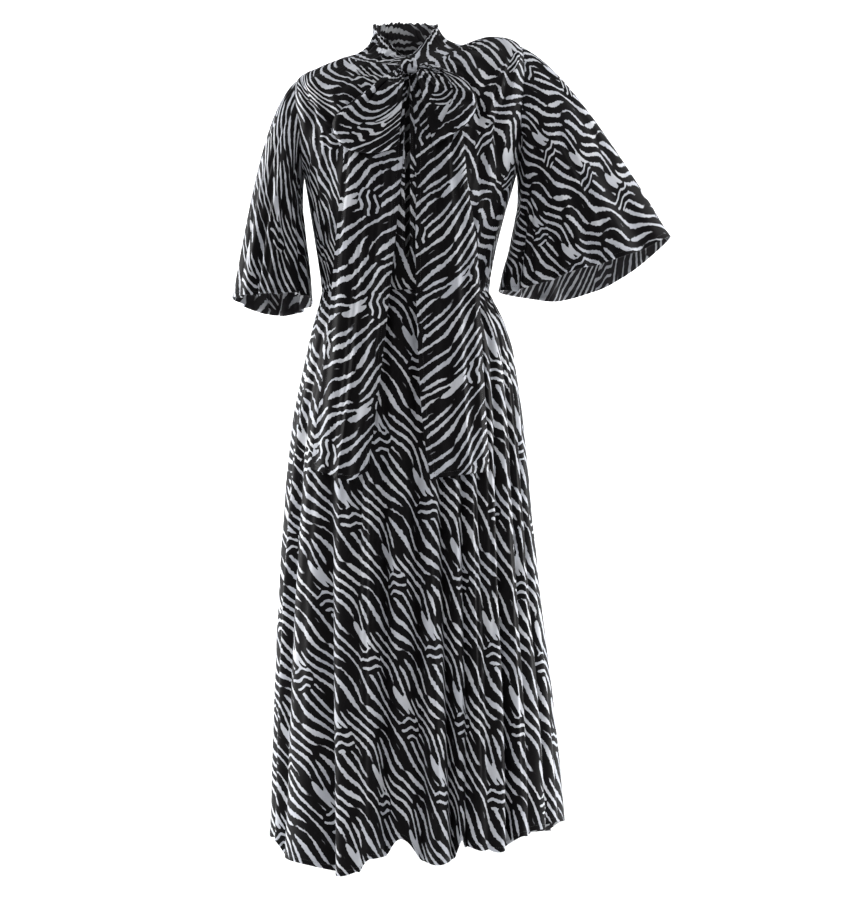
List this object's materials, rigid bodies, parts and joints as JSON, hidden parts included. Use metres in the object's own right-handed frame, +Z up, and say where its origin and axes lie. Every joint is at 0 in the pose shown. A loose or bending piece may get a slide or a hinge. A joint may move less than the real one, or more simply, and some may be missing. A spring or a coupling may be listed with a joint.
{
  "type": "long midi dress with neck bow",
  "caption": "Long dress worn open-hollow: gathered stand collar with tied bow, keyhole slit, wide half sleeves, gathered waist and flared folded skirt, zebra print.",
  "frame": {"origin": "base of the neck, midway between the shoulders that hold the dress up", "axes": "+Z up along the wearer, front of the dress towards -Y, wearer's left towards +X"},
  "size_m": [0.726, 0.3887, 1.3886],
  "materials": {
    "printed_crepe": "soft crepe with a slight sheen, near-black and pale cool grey zebra print"
  },
  "bodies": {
    "root": {"bodice_front": "printed_crepe", "bodice_back": "printed_crepe", "sleeve_left": "printed_crepe", "sleeve_right": "printed_crepe", "collar": "printed_crepe", "skirt_front": "printed_crepe", "skirt_back": "printed_crepe", "tie_tail_left": "printed_crepe", "tie_tail_right": "printed_crepe", "bow_loop_left": "printed_crepe", "bow_loop_right": "printed_crepe", "bow_knot": "printed_crepe"}
  },
  "joints": []
}
